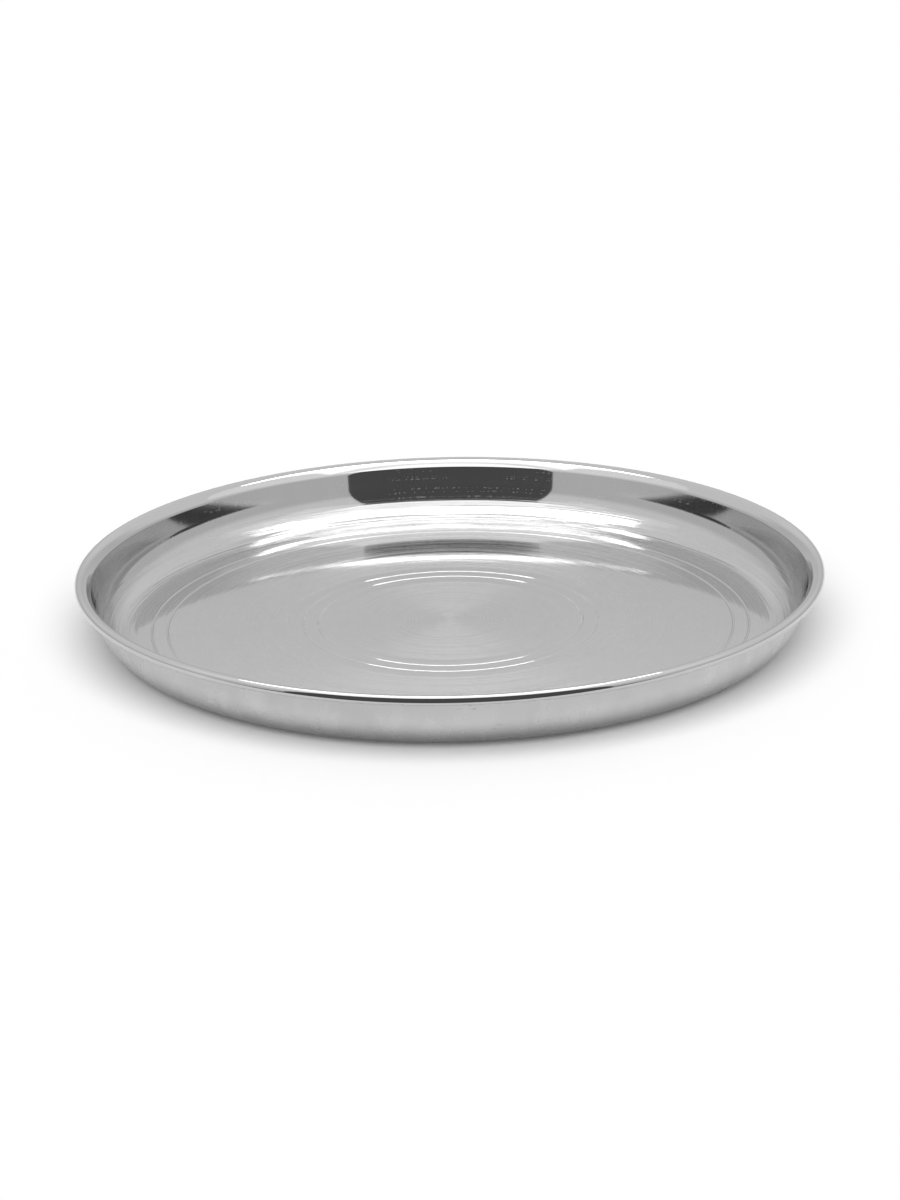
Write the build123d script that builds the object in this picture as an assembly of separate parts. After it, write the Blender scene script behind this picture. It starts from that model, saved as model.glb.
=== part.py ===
from build123d import *
import os
from math import cos, radians, sin

# A thali: a round steel dining plate, drawn from one disc of sheet and rolled outward at its edge.
# Millimetres. The origin is the middle of the underside, which rests on the table, and +Z is up.

# Driving sizes
rim_diameter = 300.0      # over the rolled edge
overall_height = 25.0     # table to the top of the lip
sheet_thickness = 0.6

corner_radius = 14.6      # underside, where the floor turns up
corner_turn = 60.0        # degrees that the tight corner turns through
side_turn = 19.5          # degrees more, through the slower curve above the corner
wall_height = 6.5         # the straight stretch above the curves
bend_radius = 3.5         # upper face, where the wall bends outward into the flare
bend_turn = 25.5          # degrees that it bends back through
flare_length = 1.55       # the short straight slope of the flare
lip_radius = 4.0          # upper face, over the top of the lip
roll_radius = 1.75        # outside of the rolled edge
roll_turn = 270.0         # degrees that the edge is rolled, from level at the top of the lip

groove_width = 1.0        # the ring lines turned into the floor
groove_depth = 0.2
groove_spacing = 6.3      # between the two lines of a pair
inner_pair_radius = 53.4  # the smaller line of the pair round the middle
outer_pair_inset = 7.3    # from the edge of the flat floor to the larger line of the outer pair

STEEL_DENSITY = 7.93e-6   # kg per cubic millimetre

# The section, worked out from the lip down. Radii below are those of the upper face.
wall_angle = corner_turn + side_turn
corner_upper_radius = corner_radius - sheet_thickness
corner_rise = corner_upper_radius * (1 - cos(radians(corner_turn)))
lip_turn = wall_angle - bend_turn
lip_rise = lip_radius * (1 - cos(radians(lip_turn)))
flare_rise = flare_length * sin(radians(lip_turn))
bend_rise = bend_radius * (cos(radians(lip_turn)) - cos(radians(wall_angle)))
edge_rise = bend_rise + flare_rise + lip_rise
side_rise = overall_height - sheet_thickness - corner_rise - wall_height - edge_rise
side_upper_radius = side_rise / (cos(radians(corner_turn)) - cos(radians(wall_angle)))
side_radius = side_upper_radius + sheet_thickness
wall_length = wall_height / sin(radians(wall_angle))

crest_radius = rim_diameter / 2 - roll_radius
lip_reach = lip_radius * sin(radians(lip_turn))
flare_reach = flare_length * cos(radians(lip_turn))
bend_reach = bend_radius * (sin(radians(wall_angle)) - sin(radians(lip_turn)))
edge_reach = bend_reach + flare_reach + lip_reach
wall_reach = wall_length * cos(radians(wall_angle))
side_reach = side_upper_radius * (sin(radians(wall_angle)) - sin(radians(corner_turn)))
corner_reach = corner_upper_radius * sin(radians(corner_turn))
base_radius = crest_radius - edge_reach - wall_reach - side_reach - corner_reach

# Ring lines: a round-bottomed groove, wide and shallow, cut by a circle much larger than the groove
outer_pair_radius = base_radius - outer_pair_inset
groove_radii = [
    inner_pair_radius,
    inner_pair_radius + groove_spacing,
    outer_pair_radius - groove_spacing,
    outer_pair_radius,
]
groove_tool_radius = (groove_width**2 / 4 + groove_depth**2) / (2 * groove_depth)
groove_tool_height = sheet_thickness + groove_tool_radius - groove_depth


def sheet_face(level):
    """The section's line along one face of the sheet: level 0 is the underside."""
    inset = sheet_thickness - level
    floor = Line((0, level), (base_radius, level))
    corner = JernArc(floor @ 1, floor % 1, radius=corner_radius - level, arc_size=corner_turn)
    side = JernArc(corner @ 1, corner % 1, radius=side_radius - level, arc_size=side_turn)
    wall = Line(side @ 1, side @ 1 + (side % 1) * wall_length)
    bend = JernArc(wall @ 1, wall % 1, radius=bend_radius - inset, arc_size=-bend_turn)
    flare = Line(bend @ 1, bend @ 1 + (bend % 1) * flare_length)
    lip = JernArc(flare @ 1, flare % 1, radius=lip_radius - inset, arc_size=-lip_turn)
    roll = JernArc(lip @ 1, lip % 1, radius=roll_radius - inset, arc_size=-roll_turn)
    return floor, roll


def make_plate():
    """The whole plate: its section turned once round Z."""
    with BuildPart() as plate:
        with BuildSketch(Plane.XZ):
            with BuildLine():
                lower_floor, lower_roll = sheet_face(0)
                upper_floor, upper_roll = sheet_face(sheet_thickness)
                Line(lower_floor @ 0, upper_floor @ 0)
                ThreePointArc(upper_roll @ 1, rounded_edge(upper_roll, lower_roll), lower_roll @ 1)
            make_face()
            with Locations(*[(radius, groove_tool_height) for radius in groove_radii]):
                Circle(groove_tool_radius, mode=Mode.SUBTRACT)
        revolve(axis=Axis.Z)
    return plate.part


def rounded_edge(upper_roll, lower_roll):
    """The tip of the sheet's free edge, half a thickness past the end of the roll."""
    middle = (upper_roll @ 1 + lower_roll @ 1) / 2
    return middle + (upper_roll % 1) * (sheet_thickness / 2)


plate = make_plate()
os.makedirs("parts", exist_ok=True)
export_step(plate, "parts/pressed_plate.step")

print(f"flat base diameter {2 * base_radius:.1f} mm, wall at {wall_angle:.0f} degrees")
print(f"side curve radius {side_radius:.1f} mm")
print("ring lines at radii", ", ".join(f"{radius:.1f}" for radius in groove_radii), "mm")
print(f"mass {plate.volume * STEEL_DENSITY:.3f} kg")
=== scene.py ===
# %% [markdown]
# # A polished steel thali
#
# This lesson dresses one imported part: a round dining plate, drawn and spun from a single disc of
# stainless sheet. It has a flat floor with turned ring lines, a rounded corner, a steep side and a
# flared edge that is rolled outward.
#
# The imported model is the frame. It is loaded first, and every size below is in metres, in its
# coordinates: the origin is the middle of the underside and +Z points up.

from math import asin, atan2, cos, hypot, pi, radians, sin

import bpy
from mathutils import Matrix, Vector


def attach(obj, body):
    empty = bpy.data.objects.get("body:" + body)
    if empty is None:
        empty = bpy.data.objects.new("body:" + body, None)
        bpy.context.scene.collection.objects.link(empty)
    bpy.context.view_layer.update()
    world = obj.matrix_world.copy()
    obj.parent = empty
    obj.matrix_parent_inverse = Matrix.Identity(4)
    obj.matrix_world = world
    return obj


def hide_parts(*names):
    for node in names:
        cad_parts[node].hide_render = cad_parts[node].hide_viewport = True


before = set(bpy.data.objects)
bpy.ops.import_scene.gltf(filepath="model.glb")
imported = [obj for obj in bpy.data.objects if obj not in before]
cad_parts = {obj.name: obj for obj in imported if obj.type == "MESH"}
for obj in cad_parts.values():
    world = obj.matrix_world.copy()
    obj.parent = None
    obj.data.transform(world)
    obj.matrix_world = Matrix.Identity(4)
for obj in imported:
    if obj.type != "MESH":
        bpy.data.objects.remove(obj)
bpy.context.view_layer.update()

# %% [markdown]
# ## The camera
#
# The plate is seen from a little above its rim with a long lens, about 1.14 m away. Polished
# metal shows its surroundings, so the camera is placed before anything else: the reflections
# depend on it as much as on the shape. Its place is written as one move and two turns, because
# they are easier to read and change than a full matrix. The camera looks level along +Y, is
# tipped down, and leans a degree to one side.

# %% Place the camera
camera_place = Vector((0.0, -1.07655, 0.38725))
camera_tip = radians(70.627)    # 90 degrees would look level
camera_lean = radians(-1.093)
camera_lens = 84.66             # millimetres, on film of the height below
film_height = 36.0

bpy.ops.object.camera_add()
camera = bpy.context.object
camera.matrix_world = (
    Matrix.Translation(camera_place)
    @ Matrix.Rotation(camera_tip, 4, "X")
    @ Matrix.Rotation(camera_lean, 4, "Z")
)
camera.data.sensor_fit = "VERTICAL"
camera.data.sensor_height = film_height
camera.data.lens = camera_lens
bpy.context.scene.camera = camera
print("camera", round(camera_place.length, 3), "m from the middle of the base")

# %% [markdown]
# ## The studio
#
# A mirror needs a whole room, not only lamps. The plate stands on a pale table inside a white
# tent. A soft light hangs over it, and the tent is open towards the camera, where the room is
# dark.
#
# The world is plain white to the camera and to reflections, and dimmer as a light. Light Path
# tells these rays apart, so the background stays white and no extra light falls on the plate.

# %% Make the world white
WHITE = (1, 1, 1, 1)


def new_material(name):
    """A material with nodes, cleared but for its output."""
    material = bpy.data.materials.new(name)
    material.use_nodes = True
    tree = material.node_tree
    tree.nodes.clear()
    output = tree.nodes.new("ShaderNodeOutputMaterial")
    return material, tree, output


def seen_directly(tree):
    """1 for camera, glossy and transmission rays, and 0 for the light that falls on things."""
    path = tree.nodes.new("ShaderNodeLightPath")
    total = path.outputs["Is Camera Ray"]
    for kind in ("Is Glossy Ray", "Is Transmission Ray"):
        add = tree.nodes.new("ShaderNodeMath")
        add.operation = "ADD"
        add.use_clamp = True
        tree.links.new(total, add.inputs[0])
        tree.links.new(path.outputs[kind], add.inputs[1])
        total = add.outputs[0]
    return total


world_light = 0.35
world = bpy.data.worlds.new("white room")
bpy.context.scene.world = world
world.use_nodes = True
tree = world.node_tree
tree.nodes.clear()
world_output = tree.nodes.new("ShaderNodeOutputWorld")
white = tree.nodes.new("ShaderNodeBackground")
strength = tree.nodes.new("ShaderNodeMapRange")
strength.inputs["To Min"].default_value = world_light
strength.inputs["To Max"].default_value = 1.0
white.inputs["Color"].default_value = WHITE
tree.links.new(seen_directly(tree), strength.inputs["Value"])
tree.links.new(strength.outputs["Result"], white.inputs["Strength"])
tree.links.new(white.outputs["Background"], world_output.inputs["Surface"])
print("the world looks white and lights at", world_light)

# %% [markdown]
# ## The table and the lamp
#
# The plate stands on a pale, matt table. One sun lamp with a very wide angle lights it almost to
# white, like a large soft box, and a faint glow of its own lifts the rest. The glow shows only to
# the camera and in reflections, so it adds no light to the plate. A plain white background would
# be simpler, but a table that is lit also takes the plate's soft shadow.
#
# The lamp shines from above and in front, so most of the shadow falls behind the plate.
# Reflections don't see the lamp, because the cards below stand for it.

# %% Lay the table
table_size = 12.0
table_drop = 0.0002    # keeps the table's face clear of the underside
table_colour = 0.90
table_lift = 0.08

bpy.ops.object.select_all(action="DESELECT")
bpy.ops.mesh.primitive_plane_add(size=table_size, location=(0, 0, -table_drop))
table = bpy.context.object
table.name = "table"

material, tree, output = new_material("pale table")
diffuse = tree.nodes.new("ShaderNodeBsdfDiffuse")
diffuse.inputs["Color"].default_value = (table_colour, table_colour, table_colour, 1)
glow = tree.nodes.new("ShaderNodeEmission")
glow.inputs["Color"].default_value = WHITE
lift = tree.nodes.new("ShaderNodeMath")
lift.operation = "MULTIPLY"
lift.inputs[1].default_value = table_lift
both = tree.nodes.new("ShaderNodeAddShader")
tree.links.new(seen_directly(tree), lift.inputs[0])
tree.links.new(lift.outputs[0], glow.inputs["Strength"])
tree.links.new(diffuse.outputs[0], both.inputs[0])
tree.links.new(glow.outputs[0], both.inputs[1])
tree.links.new(both.outputs[0], output.inputs["Surface"])
table.data.materials.append(material)
print("table", table_size, "m across")

# %% Light the table softly
lamp_height = 2.0
lamp_tip = radians(32)
lamp_spread = radians(75)
lamp_strength = 0.8 * pi    # pi lights a white surface that faces the lamp to full white

bpy.ops.object.light_add(type="SUN", location=(0, 0, lamp_height))
lamp = bpy.context.object
lamp.rotation_euler.x = lamp_tip
lamp.data.angle = lamp_spread
lamp.data.energy = lamp_strength
lamp.visible_glossy = False
print("lamp strength", round(lamp_strength, 2))

# %% [markdown]
# ## Things that only the mirror sees
#
# Every bright or dark shape on the steel is a reflection of something. Real lamps would light the
# table as well, so plain glowing cards are used: they are easy to place, they give no noise, and
# as they are hidden from the camera and from matt surfaces, they change nothing but the
# reflections.

# %% Make a card


def even_glow(name, strength):
    """A surface that gives the same light everywhere."""
    material, tree, output = new_material(name)
    glow = tree.nodes.new("ShaderNodeEmission")
    glow.inputs["Color"].default_value = WHITE
    glow.inputs["Strength"].default_value = strength
    tree.links.new(glow.outputs[0], output.inputs["Surface"])
    return material


def only_reflected(thing):
    """Marks a piece of the studio that nothing but reflections can see."""
    thing.visible_camera = False
    thing.visible_diffuse = False
    thing.visible_shadow = False


def card(name, middle, half_width, start, end, strength):
    """A flat card, as wide as given, from one edge to the other; each edge is (y, z)."""
    across = end[0] - start[0]
    rise = end[1] - start[1]
    bpy.ops.object.select_all(action="DESELECT")
    bpy.ops.mesh.primitive_plane_add(
        size=1.0,
        location=(middle, (start[0] + end[0]) / 2, (start[1] + end[1]) / 2),
        rotation=(atan2(rise, across), 0, 0),
    )
    made = bpy.context.object
    made.name = name
    made.scale = (2 * half_width, hypot(across, rise), 1)
    made.data.materials.append(even_glow(name, strength))
    only_reflected(made)
    print(name, "has strength", strength)


print("cards can be hung")

# %% [markdown]
# ## The tent
#
# A large ball round everything stands for the white cloth of the tent. The world could fade in
# the same way, but it also makes the background of the picture, and the two are easier to set
# apart. The cloth is dimmer low down and brighter above, which gives the flat floor of the plate
# its even grey and makes the steel lighter where it turns up.

# %% Close the tent
tent_radius = 2.0
tent_low, tent_high = 0.68, 0.90    # how bright the cloth is, low down and above
fade_start, fade_end = 0.5, 0.9     # the heights between which it brightens

bpy.ops.mesh.primitive_uv_sphere_add(radius=tent_radius, segments=48, ring_count=24)
tent = bpy.context.object
tent.name = "tent"
cloth = even_glow("tent cloth", tent_high)
tree = cloth.node_tree
place = tree.nodes.new("ShaderNodeTexCoord")
split = tree.nodes.new("ShaderNodeSeparateXYZ")
fade = tree.nodes.new("ShaderNodeMapRange")
fade.interpolation_type = "SMOOTHSTEP"
fade.inputs["From Min"].default_value = fade_start
fade.inputs["From Max"].default_value = fade_end
fade.inputs["To Min"].default_value = tent_low
fade.inputs["To Max"].default_value = tent_high
tree.links.new(place.outputs["Object"], split.inputs[0])
tree.links.new(split.outputs["Z"], fade.inputs["Value"])
tree.links.new(fade.outputs[0], tree.nodes["Emission"].inputs["Strength"])
tent.data.materials.append(cloth)
only_reflected(tent)
print("tent cloth from", tent_low, "to", tent_high)

# %% [markdown]
# ## The dark in front
#
# The tent is open towards the camera. The dark room shows as the black rectangle on the far wall
# of the plate, as its fainter double in the floor and as the thin black line along the near lip.
# One upright card makes all three. A second one lies flat where the table ends, in front of the
# plate.

# %% Open the tent in front
dark = 0.10
opening_half = 0.282
opening_middle = -0.010
opening_y = -0.34
opening_top = 0.51
table_end = -0.171
above_table = 0.001

card(
    "front opening",
    opening_middle,
    opening_half,
    (opening_y, 0.0),
    (opening_y, opening_top),
    dark,
)
card(
    "dark before the table",
    opening_middle,
    opening_half,
    (opening_y, above_table),
    (table_end, above_table),
    dark,
)

# %% [markdown]
# ## The light over the plate
#
# A row of soft panels hangs over the plate. The seams between them are a little darker and show
# as grey lines in the bright band under the black rectangle. The panel at the back is the
# brightest: the polishing marks spread it over the floor as a soft fan. A wider, dimmer card just
# above the panels lets the bright band fade out at both ends.

# %% Hang the light over the plate
light_ceiling = 0.55
light_front = -0.42
light_back = 0.20
light_half = 0.30
light_strength = 1.9
bright_strength = 11.0
# name, front edge, back edge, strength; the gaps between the panels are the seams
panels = [
    ("soft light in front", light_front, -0.20, light_strength),
    ("soft light over the middle", -0.17, 0.105, light_strength),
    ("bright light at the back", 0.14, light_back, bright_strength),
]
for name, start, end, strength in panels:
    card(name, 0, light_half, (start, light_ceiling), (end, light_ceiling), strength)

# %% Let the light fade out at both ends
fade_half = 0.65
fade_strength = 1.1
fade_height = light_ceiling + 0.01
card(
    "soft light edge",
    0,
    fade_half,
    (light_front, fade_height),
    (light_back, fade_height),
    fade_strength,
)

# %% [markdown]
# ## Two finishes on one sheet
#
# The plate is polished on a lathe, so every mark on its upper face runs round the axis. From a
# distance the marks can't be told apart, but they spread a reflection across themselves, which
# puts the soft fan of light on the floor. Outside, the plate is only brushed, so it shows its
# surroundings as soft patches, with smears and a few dark specks.
#
# Both finishes are made from noise on Object coordinates, in metres, so they need no unwrapping.
# What both share is built once as a node group. The Principled shader stays in each material.

# %% [markdown]
# ## Small helpers
#
# A material is a chain of small sums. Making each node by hand takes four lines, so these helpers
# make a node, join its inputs and give back its output.

# %% Make small helpers for nodes
MILLIMETRE = 0.001


def new_group(name, inputs, outputs):
    """A node group with named sockets; returns it with its input and output nodes."""
    group = bpy.data.node_groups.new(name, "ShaderNodeTree")
    for label, kind in inputs:
        group.interface.new_socket(label, in_out="INPUT", socket_type=kind)
    for label in outputs:
        group.interface.new_socket(label, in_out="OUTPUT", socket_type="NodeSocketFloat")
    return group, group.nodes.new("NodeGroupInput"), group.nodes.new("NodeGroupOutput")


def connect(tree, value, socket):
    """Links an output to a socket, or writes a plain value into it."""
    if isinstance(value, bpy.types.NodeSocket):
        tree.links.new(value, socket)
    else:
        socket.default_value = value


def calculate(tree, operation, *values):
    """One Math node; its inputs are outputs of other nodes or plain numbers."""
    node = tree.nodes.new("ShaderNodeMath")
    node.operation = operation
    for value, socket in zip(values, node.inputs):
        connect(tree, value, socket)
    return node.outputs[0]


def combine(tree, operation, first, second):
    """One Vector Math node."""
    node = tree.nodes.new("ShaderNodeVectorMath")
    node.operation = operation
    connect(tree, first, node.inputs[0])
    connect(tree, second, node.inputs["Scale" if operation == "SCALE" else 1])
    return node.outputs[0]


def noise(tree, vector, scale, detail):
    """Soft noise, about 0.5 on average."""
    node = tree.nodes.new("ShaderNodeTexNoise")
    node.inputs["Scale"].default_value = scale
    node.inputs["Detail"].default_value = detail
    tree.links.new(vector, node.inputs["Vector"])
    return node.outputs[0]


def rescale(tree, value, low, high, new_low, new_high):
    """Eases the range from low to high onto new_low to new_high."""
    node = tree.nodes.new("ShaderNodeMapRange")
    node.interpolation_type = "SMOOTHSTEP"
    for number, socket in zip((low, high, new_low, new_high), list(node.inputs)[1:5]):
        socket.default_value = number
    tree.links.new(value, node.inputs["Value"])
    return node.outputs["Result"]


def mask(tree, value, low, high):
    """0 up to low and 1 from high on, with an eased step between them."""
    return rescale(tree, value, low, high, 0.0, 1.0)


print("helpers ready")

# %% [markdown]
# ## The lathe's coordinates
#
# A mark that runs round the axis has one radius, or one height on the steep side. So one distance
# describes it: the radius plus the height, which grows all the way from the middle of the floor
# to the lip. A level arrow that points away from the axis gives the direction round the plate. An
# angle would jump at one place, and the arrow doesn't.

# %% Measure along the section and round the axis
lathe, given, result = new_group(
    "lathe marks",
    [("Vector", "NodeSocketVector")],
    ["Along", "Line", "Streaks", "Nicks"],
)
split = lathe.nodes.new("ShaderNodeSeparateXYZ")
lathe.links.new(given.outputs["Vector"], split.inputs[0])
level = combine(lathe, "MULTIPLY", given.outputs["Vector"], (1, 1, 0))
measure = lathe.nodes.new("ShaderNodeVectorMath")
measure.operation = "LENGTH"
lathe.links.new(level, measure.inputs[0])
along = calculate(lathe, "ADD", measure.outputs["Value"], split.outputs["Z"])
along = calculate(lathe, "DIVIDE", along, MILLIMETRE)
outward = lathe.nodes.new("ShaderNodeVectorMath")
outward.operation = "NORMALIZE"
lathe.links.new(level, outward.inputs[0])
lathe.links.new(along, result.inputs["Along"])


def round_the_axis(turns, distance):
    """A place for noise: how fast it changes round the axis, and along the section."""
    upward = lathe.nodes.new("ShaderNodeCombineXYZ")
    lathe.links.new(calculate(lathe, "MULTIPLY", along, distance), upward.inputs["Z"])
    sideways = combine(lathe, "SCALE", outward.outputs[0], turns)
    return combine(lathe, "ADD", sideways, upward.outputs[0])


print("the group gives", ", ".join(socket.name for socket in result.inputs if socket.name))

# %% [markdown]
# ## The marks of the lathe
#
# Three marks share these coordinates. Polishing lines are so fine that only their average shows:
# one white noise gives each line a number from 0 to 1. Streaks are long and soft, as the roller
# leaves them. Nicks are short dashes that lie in rows, where grit was dragged round: three noises
# are multiplied, one for the dashes, one for the rows and one for the places where they gather.

# %% Draw the polishing lines
lines_per_mm = 60
line = lathe.nodes.new("ShaderNodeTexWhiteNoise")
line.noise_dimensions = "1D"
number = calculate(lathe, "FLOOR", calculate(lathe, "MULTIPLY", along, lines_per_mm))
lathe.links.new(number, line.inputs["W"])
lathe.links.new(line.outputs["Value"], result.inputs["Line"])
print(lines_per_mm, "polishing lines per millimetre")

# %% Draw the streaks
streaks = noise(lathe, round_the_axis(turns=0.6, distance=0.5), scale=1.0, detail=3.0)
lathe.links.new(streaks, result.inputs["Streaks"])
print("streaks ready")

# %% Draw the nicks
dashes = noise(lathe, round_the_axis(turns=120.0, distance=0.4), scale=1.0, detail=0.0)
dashes = mask(lathe, dashes, 0.56, 0.64)
rows = noise(lathe, round_the_axis(turns=0.0, distance=1.0), scale=1.0, detail=0.0)
rows = mask(lathe, rows, 0.52, 0.58)
places = noise(lathe, round_the_axis(turns=5.0, distance=0.05), scale=1.0, detail=0.0)
places = mask(lathe, places, 0.46, 0.60)
nicks = calculate(lathe, "MULTIPLY", calculate(lathe, "MULTIPLY", dashes, rows), places)
lathe.links.new(nicks, result.inputs["Nicks"])
print("lathe marks have", len(lathe.nodes), "nodes")

# %% [markdown]
# ## Wiping marks
#
# Steel that has been handled and wiped is never one even grey. Broad clouds and finer smears,
# twice as tall as they are wide, change its tone a little. Both finishes use the same marks,
# faint inside and stronger outside, so they are a group with an amount.

# %% Draw the wiping marks
wiping, given, result = new_group(
    "wiping marks",
    [("Vector", "NodeSocketVector"), ("Amount", "NodeSocketFloat")],
    ["Tone", "Smears"],
)
upright = combine(wiping, "MULTIPLY", given.outputs["Vector"], (1, 1, 0.5))
smears = noise(wiping, upright, scale=120.0, detail=4.0)
clouds = noise(wiping, given.outputs["Vector"], scale=22.0, detail=2.0)
swing = calculate(wiping, "ADD", smears, clouds)
swing = calculate(wiping, "SUBTRACT", swing, 1.0)    # the two noises average 1 together
swing = calculate(wiping, "MULTIPLY", swing, given.outputs["Amount"])
wiping.links.new(calculate(wiping, "ADD", swing, 1.0), result.inputs["Tone"])
wiping.links.new(smears, result.inputs["Smears"])
print("wiping marks have", len(wiping.nodes), "nodes")

# %% [markdown]
# ## A steel to start from
#
# Both finishes are metal, read the same place on the plate and carry the wiping marks. What they
# share is set up by one function, so that only what makes them different is left to write.

# %% Start a steel


def place_steel(name):
    """A metal with the wiping marks in place."""
    material, tree, output = new_material(name)
    steel = tree.nodes.new("ShaderNodeBsdfPrincipled")
    steel.inputs["Metallic"].default_value = 1.0
    tree.links.new(steel.outputs[0], output.inputs["Surface"])
    place = tree.nodes.new("ShaderNodeTexCoord").outputs["Object"]
    marks = tree.nodes.new("ShaderNodeGroup")
    marks.node_tree = wiping
    tree.links.new(place, marks.inputs["Vector"])
    return material, tree, steel, place, marks


def set_grey(tree, value, socket):
    """Puts one value into all three channels of a colour."""
    colour = tree.nodes.new("ShaderNodeCombineColor")
    for channel in list(colour.inputs)[:3]:
        tree.links.new(value, channel)
    tree.links.new(colour.outputs[0], socket)


print("steel can be mixed")

# %% [markdown]
# ## Polished steel
#
# One roughness all over would look like glass or like brushed metal, and a polished plate is
# both. Here each polishing line is either sharp, and mirrors like glass, or hazy, and spreads
# light across itself. The line's own number decides, so the share of hazy lines sets the look:
# high in the middle, where the fan is, almost none round the inner ring lines and on the wall,
# and uneven in the corner, where the roller left streaks. The shader is anisotropic with its
# tangent round the axis, which is why the haze only spreads outward and inward.
#
# The shares are written as a short table along the section, which a colour ramp reads: its red,
# green and blue carry the share, how much it varies and the nicks.

# %% Share out the haze
along_end = 175.0
# distance along the section in millimetres, share of hazy lines, how much it varies, nicks
haze = [
    (0, 0.23, 0.02, 0),
    (46, 0.32, 0.02, 0),
    (49.5, 0.03, 0.01, 0),
    (64, 0.03, 0.01, 0),
    (68, 0.30, 0.02, 0),
    (100, 0.23, 0.02, 0),
    (126, 0.23, 0.04, 0),
    (131, 0.30, 0.40, 0),
    (144, 0.28, 0.40, 0),
    (147, 0.05, 0.10, 0.2),
    (151, 0, 0, 0.35),
    (164, 0, 0, 0.35),
    (168, 0.02, 0.01, 0),
]
print(len(haze), "stops along the section")

# %% Mix polished steel
stretch = 0.8           # how strongly the haze is drawn out to one side, from 0 to 1
quarter_turn = 0.25     # turns the haze from along the tangent to across it

polished, tree, steel, place, marks = place_steel("polished steel")
steel.inputs["Anisotropic"].default_value = stretch
steel.inputs["Anisotropic Rotation"].default_value = quarter_turn
tangent = tree.nodes.new("ShaderNodeTangent")
tangent.direction_type = "RADIAL"
tangent.axis = "Z"
tree.links.new(tangent.outputs[0], steel.inputs["Tangent"])
turned = tree.nodes.new("ShaderNodeGroup")
turned.node_tree = lathe
tree.links.new(place, turned.inputs["Vector"])
print("polished steel is stretched by", stretch)

# %% Read the shares of haze
ramp = tree.nodes.new("ShaderNodeValToRGB")
stops = ramp.color_ramp.elements
stops.remove(stops[1])
for number, (distance, share, swing, nicks) in enumerate(haze):
    stop = stops[0] if number == 0 else stops.new(distance / along_end)
    stop.position = distance / along_end
    stop.color = (share, swing, nicks, 1)
part_way = calculate(tree, "DIVIDE", turned.outputs["Along"], along_end)
tree.links.new(part_way, ramp.inputs["Fac"])
channels = tree.nodes.new("ShaderNodeSeparateColor")
tree.links.new(ramp.outputs[0], channels.inputs[0])
share, swing, nicks = (channels.outputs[name] for name in ("Red", "Green", "Blue"))
print("the ramp reads", along_end, "mm")

# %% Let each line be sharp or hazy
streak_contrast = 6.0
sharp_roughness = 0.055
hazy_roughness = 0.38

uneven = calculate(tree, "SUBTRACT", turned.outputs["Streaks"], 0.5)
uneven = calculate(tree, "MULTIPLY", uneven, streak_contrast)
share = calculate(tree, "MULTIPLY_ADD", uneven, swing, share)
share = calculate(tree, "MULTIPLY_ADD", turned.outputs["Nicks"], nicks, share)
hazy = calculate(tree, "LESS_THAN", turned.outputs["Line"], share)
roughness = rescale(tree, hazy, 0.0, 1.0, sharp_roughness, hazy_roughness)
tree.links.new(roughness, steel.inputs["Roughness"])
print("lines are", sharp_roughness, "or", hazy_roughness, "rough")

# %% Give polished steel its grey and its ripples
polished_grey = 0.55
polished_wiping = 0.05
ripple_height = 0.00015

marks.inputs["Amount"].default_value = polished_wiping
tone = calculate(tree, "MULTIPLY", marks.outputs["Tone"], polished_grey)
set_grey(tree, tone, steel.inputs["Base Color"])

ripple = tree.nodes.new("ShaderNodeBump")
ripple.inputs["Distance"].default_value = ripple_height
tree.links.new(calculate(tree, "MULTIPLY", uneven, swing), ripple.inputs["Height"])
tree.links.new(ripple.outputs[0], steel.inputs["Normal"])
print("polished steel has", len(tree.nodes), "nodes")

# %% [markdown]
# ## Satin steel
#
# The outside and the rolled edge's hollow keep the duller finish. It is the same metal with the
# same marks, but the smears also change its sheen, and small dark specks lie on it in patches.
# The specks are a fine noise that only shows where a broad noise is high, which looks less even
# than one noise would. Its tone also holds painted shade by height: much darker round the base,
# where the steel reflects the plate's shadow on the table, a little lighter above that, and a
# little darker again towards the lip.

# %% Mix satin steel
satin_wiping = 0.34
speck_depth = 0.45

satin, tree, steel, place, marks = place_steel("satin steel")
marks.inputs["Amount"].default_value = satin_wiping
split = tree.nodes.new("ShaderNodeSeparateXYZ")
tree.links.new(place, split.inputs[0])
height = split.outputs["Z"]

flattened = combine(tree, "MULTIPLY", place, (0.5, 0.5, 2.2))
specks = noise(tree, flattened, scale=420.0, detail=2.0)
patches = noise(tree, place, scale=16.0, detail=1.0)
specks = rescale(tree, specks, 0.64, 0.70, 0.0, speck_depth)
specks = calculate(tree, "MULTIPLY", specks, mask(tree, patches, 0.55, 0.62))
clean = calculate(tree, "SUBTRACT", 1.0, specks)
tone = calculate(tree, "MULTIPLY", marks.outputs["Tone"], clean)
print("specks darken the steel by up to", speck_depth)

# %% Paint light and shade on it from the base to the lip
satin_grey = 0.53
# from one height to another, in metres, and the tone at each
# painted shade: much darker round the base, where the steel reflects the plate's shadow on the
# table
painted_base_shade = rescale(tree, height, 0.002, 0.0105, 0.48, 1.04)
tone = calculate(tree, "MULTIPLY", tone, painted_base_shade)
# painted shade: a little darker towards the lip, to tone down the light it reflects there
painted_lip_shade = rescale(tree, height, 0.010, 0.018, 1.0, 0.93)
tone = calculate(tree, "MULTIPLY", tone, painted_lip_shade)
tone = calculate(tree, "MULTIPLY", tone, satin_grey)
set_grey(tree, tone, steel.inputs["Base Color"])

roughness = rescale(tree, marks.outputs["Smears"], 0.3, 0.7, 0.20, 0.30)
tree.links.new(roughness, steel.inputs["Roughness"])
print("satin steel has", len(tree.nodes), "nodes")

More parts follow.
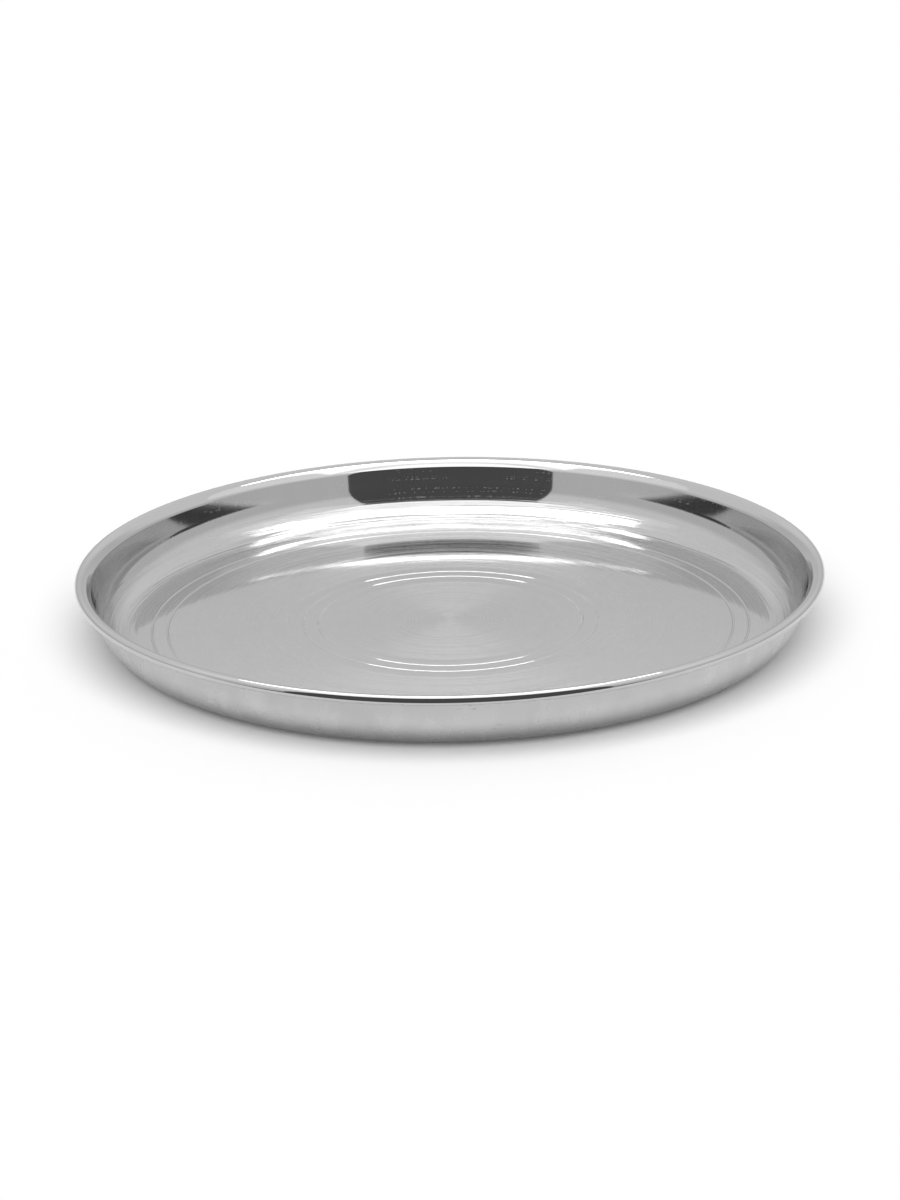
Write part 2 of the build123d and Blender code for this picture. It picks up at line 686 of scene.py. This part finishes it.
# %% [markdown]
# ## The sizes of the section
#
# A spun plate is one section turned round an axis, so all of its form is in that section. These
# are the sizes of the sheet's upper face, from the middle of the floor to the free edge inside
# the roll: a flat floor, a tight corner, a slower curve and a straight wall, then a bend outward,
# the short slope of the flare, the rounded top of the lip and the roll. What the named sizes
# leave over goes into the slower curve and the floor.

# %% Name the sizes
rim_radius = 0.150
overall_height = 0.025
sheet = 0.0006

corner_radius = 0.0140
corner_turn = radians(60)
side_turn = radians(19.5)
wall_height = 0.0065
bend_radius = 0.0035
bend_turn = radians(25.5)
flare_length = 0.00155
lip_radius = 0.0040
roll_radius = 0.00175
roll_turn = radians(270)
print(f"{2000 * rim_radius:.0f} mm across and {1000 * overall_height:.0f} mm high")

# %% Work out the rest of the section
wall_angle = corner_turn + side_turn
corner_rise = corner_radius * (1 - cos(corner_turn))
lip_turn = wall_angle - bend_turn
lip_rise = lip_radius * (1 - cos(lip_turn))
flare_rise = flare_length * sin(lip_turn)
bend_rise = bend_radius * (cos(lip_turn) - cos(wall_angle))
side_rise = (
    overall_height - sheet - corner_rise - wall_height - bend_rise - flare_rise - lip_rise
)
side_radius = side_rise / (cos(corner_turn) - cos(wall_angle))
wall_length = wall_height / sin(wall_angle)

crest_radius = rim_radius - roll_radius
lip_reach = lip_radius * sin(lip_turn)
flare_reach = flare_length * cos(lip_turn)
bend_reach = bend_radius * (sin(wall_angle) - sin(lip_turn))
wall_reach = wall_length * cos(wall_angle)
side_reach = side_radius * (sin(wall_angle) - sin(corner_turn))
corner_reach = corner_radius * sin(corner_turn)
edge_reach = lip_reach + flare_reach + bend_reach
base_radius = crest_radius - edge_reach - wall_reach - side_reach - corner_reach
print(f"flat floor radius {base_radius * 1000:.2f} mm, side curve {side_radius * 1000:.2f} mm")

# %% [markdown]
# ## The ring lines
#
# Two pairs of thin lines are turned into the floor with a round-nosed tool. Each is a groove 1 mm
# wide and 0.2 mm deep, so only its slopes show, as a bright or a dark line. A bump texture could
# fake them, but a groove in the section is a real shape, and costs only a few points.

# %% Name the ring lines
ring_width = 0.0010
ring_depth = 0.0002
ring_spacing = 0.0063
ring_inset = 0.0073    # from the edge of the flat floor to the largest line
inner_ring = 0.0534
outer_ring = base_radius - ring_inset
ring_radii = [inner_ring, inner_ring + ring_spacing, outer_ring - ring_spacing, outer_ring]

nose_radius = (ring_width**2 / 4 + ring_depth**2) / (2 * ring_depth)
print("tool nose radius", round(nose_radius * 1000, 2), "mm")

# %% [markdown]
# ## Draw the section
#
# The section is drawn in edit mode like a pen stroke. A small plane is collapsed to one point at
# the middle of the floor. Extruding that point draws a straight line and spinning it draws an
# arc, and each time the new end stays selected, ready for the next stroke. Arcs drawn this way
# meet the straight parts exactly. Points placed by eye would not, and on a mirror the smallest
# kink shows in the reflections.

# %% Put down the pen
bpy.ops.object.select_all(action="DESELECT")
bpy.ops.mesh.primitive_plane_add(size=0.001, location=(0, 0, 0))
plate = bpy.context.object
plate.name = "polished_plate"
plate.data.materials.append(polished)
plate.data.materials.append(satin)
bpy.ops.object.mode_set(mode="EDIT")
bpy.ops.mesh.select_all(action="SELECT")
bpy.ops.mesh.merge(type="CENTER")
bpy.ops.mesh.select_mode(type="VERT")
bpy.ops.transform.translate(value=(0, 0, sheet))
pen = [0.0, sheet]


def line_to(radius, height):
    """Draws a straight stroke to this radius and height."""
    stroke = (radius - pen[0], 0, height - pen[1])
    bpy.ops.mesh.extrude_region_move(TRANSFORM_OT_translate={"value": stroke})
    pen[:] = [radius, height]


def arc(centre, turn, steps):
    """Draws an arc round a centre: a positive turn is anticlockwise, with the axis at the left."""
    bpy.ops.mesh.spin(
        steps=steps,
        angle=turn,
        center=(centre[0], 0, centre[1]),
        axis=(0, 1, 0),
    )
    across, up = pen[0] - centre[0], pen[1] - centre[1]
    pen[:] = [
        centre[0] + across * cos(turn) - up * sin(turn),
        centre[1] + across * sin(turn) + up * cos(turn),
    ]


print("pen at", pen)

# %% Draw the floor with its grooves
support = 0.0003    # an extra point beside each groove keeps the shading of the flat floor flat
nose_centre = sheet + nose_radius - ring_depth
groove_turn = 2 * asin(ring_width / 2 / nose_radius)
for ring in ring_radii:
    line_to(ring - ring_width / 2 - support, sheet)
    line_to(ring - ring_width / 2, sheet)
    arc((ring, nose_centre), groove_turn, steps=10)
    line_to(ring + ring_width / 2 + support, sheet)
line_to(base_radius - support, sheet)
line_to(base_radius, sheet)
print("floor drawn to", round(pen[0] * 1000, 2), "mm")

# %% Draw the corner, the side and the wall
arc((base_radius, sheet + corner_radius), corner_turn, steps=16)
side_centre = (
    pen[0] - side_radius * sin(corner_turn),
    pen[1] + side_radius * cos(corner_turn),
)
arc(side_centre, side_turn, steps=7)
line_to(pen[0] + wall_reach, pen[1] + wall_height)
print("wall drawn to", round(pen[0] * 1000, 2), round(pen[1] * 1000, 2), "mm")

# %% Draw the flare and the lip
bend_centre = (
    pen[0] + bend_radius * sin(wall_angle),
    pen[1] - bend_radius * cos(wall_angle),
)
arc(bend_centre, -bend_turn, steps=6)
line_to(pen[0] + flare_reach, pen[1] + flare_rise)
arc((crest_radius, overall_height - lip_radius), -lip_turn, steps=12)
print("crest at", round(pen[0] * 1000, 2), round(pen[1] * 1000, 2), "mm")

# %% Draw the roll
arc((crest_radius, overall_height - roll_radius), -roll_turn, steps=27)
print("free edge at", round(pen[0] * 1000, 2), round(pen[1] * 1000, 2), "mm")

# %% [markdown]
# ## Turn it round the axis
#
# One spin of the whole section makes the surface, as the lathe does. A Screw modifier would make
# the same form, and spin is the stroke already in hand. 360 steps keep the outline and the mirror
# smooth. The steps meet at the axis and at the seam, so doubles are merged there, and only then
# are the normals made to agree, with the floor facing up.

# %% Turn the section
turn_steps = 360
touching = 1e-6
bpy.ops.mesh.select_all(action="SELECT")
bpy.ops.mesh.spin(steps=turn_steps, angle=2 * pi, center=(0, 0, 0), axis=(0, 0, 1))
bpy.ops.mesh.select_all(action="SELECT")
bpy.ops.mesh.remove_doubles(threshold=touching)
bpy.ops.mesh.normals_make_consistent(inside=False)
bpy.ops.object.mode_set(mode="OBJECT")

well_inside = 0.9 * inner_ring
floor_faces = [face for face in plate.data.polygons if face.center.xy.length < well_inside]
if sum(face.normal.z for face in floor_faces) < 0:
    bpy.ops.object.mode_set(mode="EDIT")
    bpy.ops.mesh.flip_normals()
    bpy.ops.object.mode_set(mode="OBJECT")
print(len(plate.data.vertices), "points,", len(plate.data.polygons), "faces")

# %% [markdown]
# ## Give the sheet its thickness
#
# The plate is a sheet 0.6 mm thick all over, and that shows at the underside and inside the roll.
# Solidify grows it below the upper face, so the lower face needs no drawing of its own. Even
# thickness keeps the gauge true round the tight roll, and the material offset gives the new face
# its own finish: the upper face is mirror polished and the lower one is left satin.

# %% Thicken the sheet
solidify = plate.modifiers.new("sheet thickness", "SOLIDIFY")
solidify.thickness = sheet
solidify.offset = -1.0
solidify.use_even_offset = True
solidify.material_offset = 1
bpy.ops.object.modifier_apply(modifier=solidify.name)
print(len(plate.data.polygons), "faces on both sides of the sheet")

# %% [markdown]
# ## Flatten the underside
#
# The thickened sheet repeats the grooves below, but the tool only cuts the upper face. Every low
# point is pressed back onto the table by scaling its height to nothing. Faces that meet at more
# than 25 degrees keep a crisp edge, and all the others are shaded as one smooth surface.

# %% Press the underside flat
low = sheet / 3
margin = 1e-5
crisp_edge = radians(25)
bpy.ops.object.mode_set(mode="EDIT")
bpy.ops.mesh.select_all(action="DESELECT")
bpy.ops.object.mode_set(mode="OBJECT")
for vertex in plate.data.vertices:
    vertex.select = vertex.co.z < low and vertex.co.xy.length < base_radius + margin
print(sum(vertex.select for vertex in plate.data.vertices), "points under the floor")
bpy.ops.object.mode_set(mode="EDIT")
bpy.ops.transform.resize(value=(1, 1, 0), center_override=(0, 0, 0))
bpy.ops.object.mode_set(mode="OBJECT")
bpy.ops.object.shade_smooth_by_angle(angle=crisp_edge)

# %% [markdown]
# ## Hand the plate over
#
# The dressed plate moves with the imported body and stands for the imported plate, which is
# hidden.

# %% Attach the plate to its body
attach(plate, "root")
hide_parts("pressed_plate")
bpy.context.scene.view_settings.view_transform = "Standard"
print(plate.name, "stands for the packed plate")
